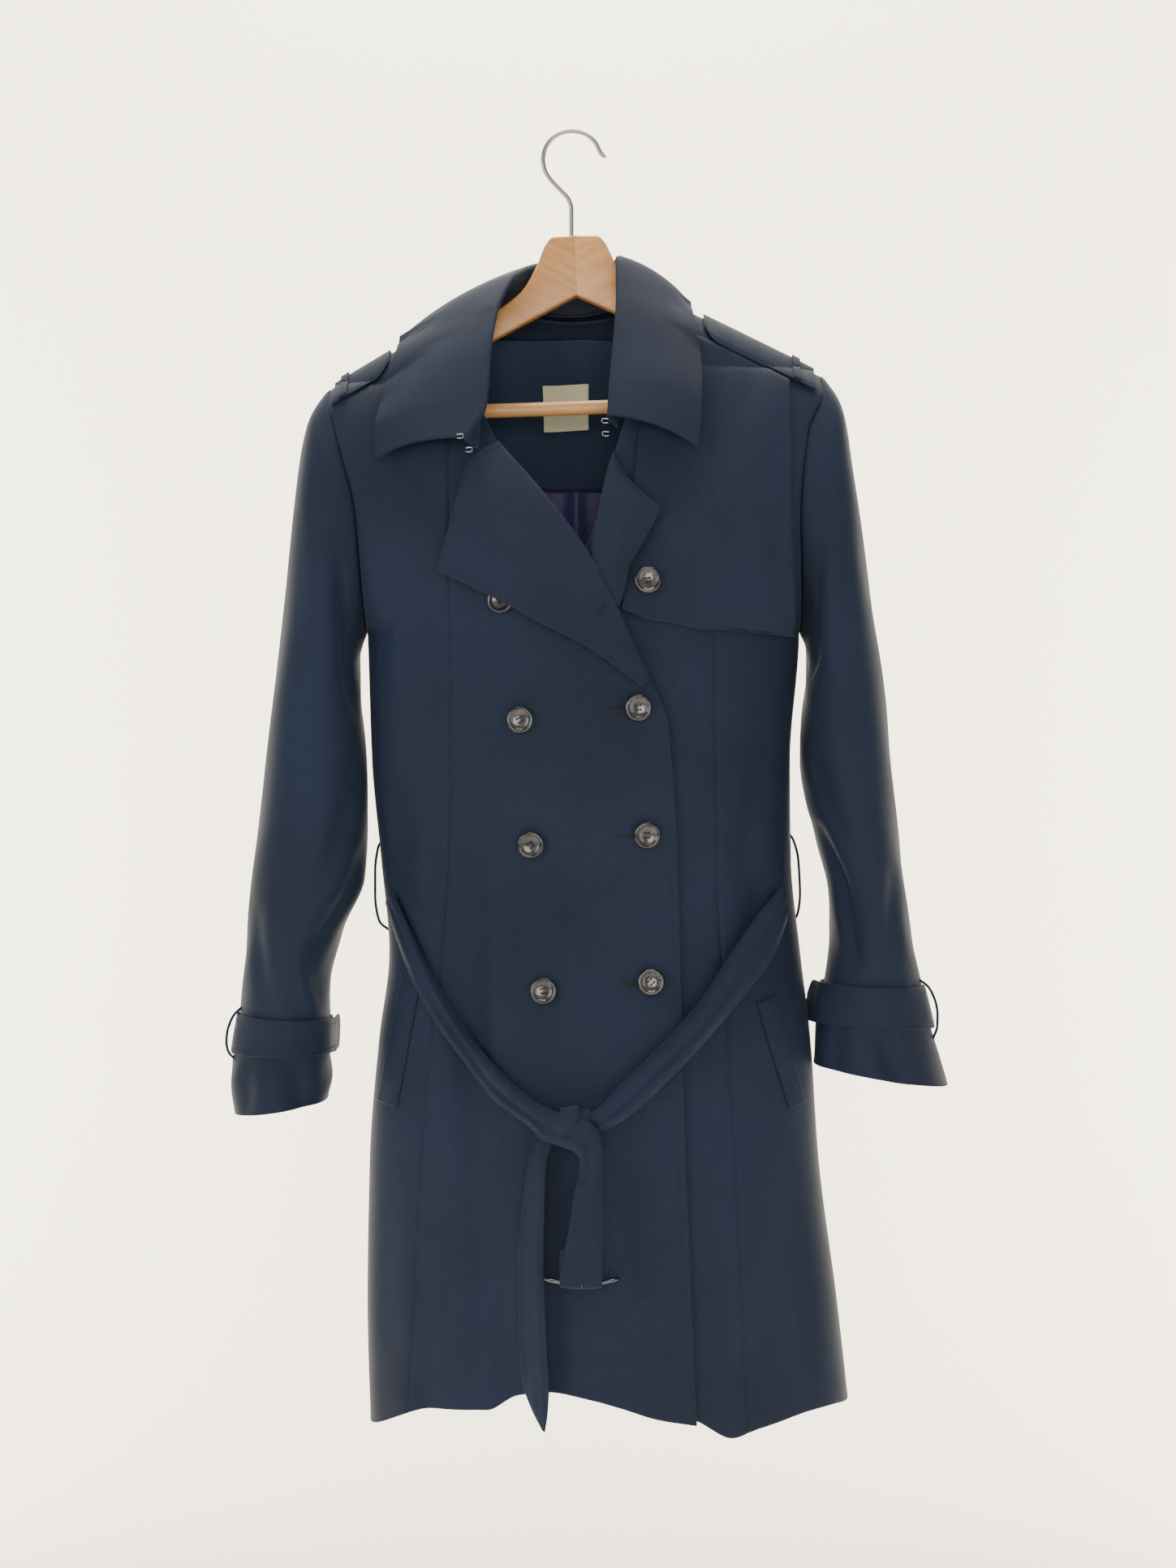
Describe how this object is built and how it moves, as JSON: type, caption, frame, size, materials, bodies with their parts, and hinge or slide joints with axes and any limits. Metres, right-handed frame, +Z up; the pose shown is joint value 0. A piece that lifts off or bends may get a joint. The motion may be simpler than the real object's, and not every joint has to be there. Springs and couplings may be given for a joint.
{
  "type": "trench coat on a hanger",
  "caption": "Long double-breasted trench coat with epaulettes, cuff straps and a belt knotted at the waist, hung open-necked on a wooden hanger with a steel hook.",
  "frame": {"origin": "the inside top of the hanger's hook, where it rests on a rail", "axes": "+Z up along the hanging coat, -Y out of the coat's front, +X towards the wearer's left"},
  "size_m": [0.6297, 0.2204, 1.1334],
  "materials": {
    "coat_cloth": "matte",
    "lining": "satin",
    "label": "matte",
    "beech": "satin",
    "steel": "polished",
    "dark_metal": "satin",
    "button_resin": "gloss"
  },
  "bodies": {
    "root": {"back_left": "coat_cloth", "back_lining": "lining", "back_right": "coat_cloth", "belt_back": "coat_cloth", "belt_end_buckle": "coat_cloth", "belt_end_plain": "coat_cloth", "belt_knot": "coat_cloth", "belt_loop_left": "coat_cloth", "belt_loop_right": "coat_cloth", "belt_run_left": "coat_cloth", "belt_run_right": "coat_cloth", "buckle_frame": "dark_metal", "button_1_right": "button_resin", "button_2_left": "button_resin", "button_2_right": "button_resin", "button_3_left": "button_resin", "button_3_right": "button_resin", "button_4_left": "button_resin", "button_4_right": "button_resin", "button_flap": "button_resin", "collar_eye_lower": "steel", "collar_eye_upper": "steel", "collar_fall": "coat_cloth", "collar_hook_lower": "steel", "collar_hook_upper": "steel", "collar_stand": "coat_cloth", "cuff_carrier_left": "coat_cloth", "cuff_carrier_right": "coat_cloth", "cuff_strap_left": "coat_cloth", "cuff_strap_right": "coat_cloth", "epaulette_carrier_left": "coat_cloth", "epaulette_carrier_right": "coat_cloth", "epaulette_left": "coat_cloth", "epaulette_right": "coat_cloth", "front_left": "coat_cloth", "front_left_side": "coat_cloth", "front_right": "coat_cloth", "front_right_side": "coat_cloth", "gun_flap": "coat_cloth", "hanger_bar": "beech", "hanger_hook": "steel", "hanger_wood_left": "beech", "hanger_wood_right": "beech", "label": "label", "lapel_left": "coat_cloth", "lapel_right": "coat_cloth", "neck_facing": "coat_cloth", "pocket_welt_left": "coat_cloth", "pocket_welt_right": "coat_cloth", "sleeve_left": "coat_cloth", "sleeve_right": "coat_cloth"},
    "prong": {"buckle_prong": "dark_metal"}
  },
  "joints": [
    {"name": "prong_swing", "type": "hinge", "parent": "root", "child": "prong", "pos_m": [0.0095, -0.136, -0.9835], "axis": [-1, 0, 0], "range_deg": [-3, 70]}
  ]
}
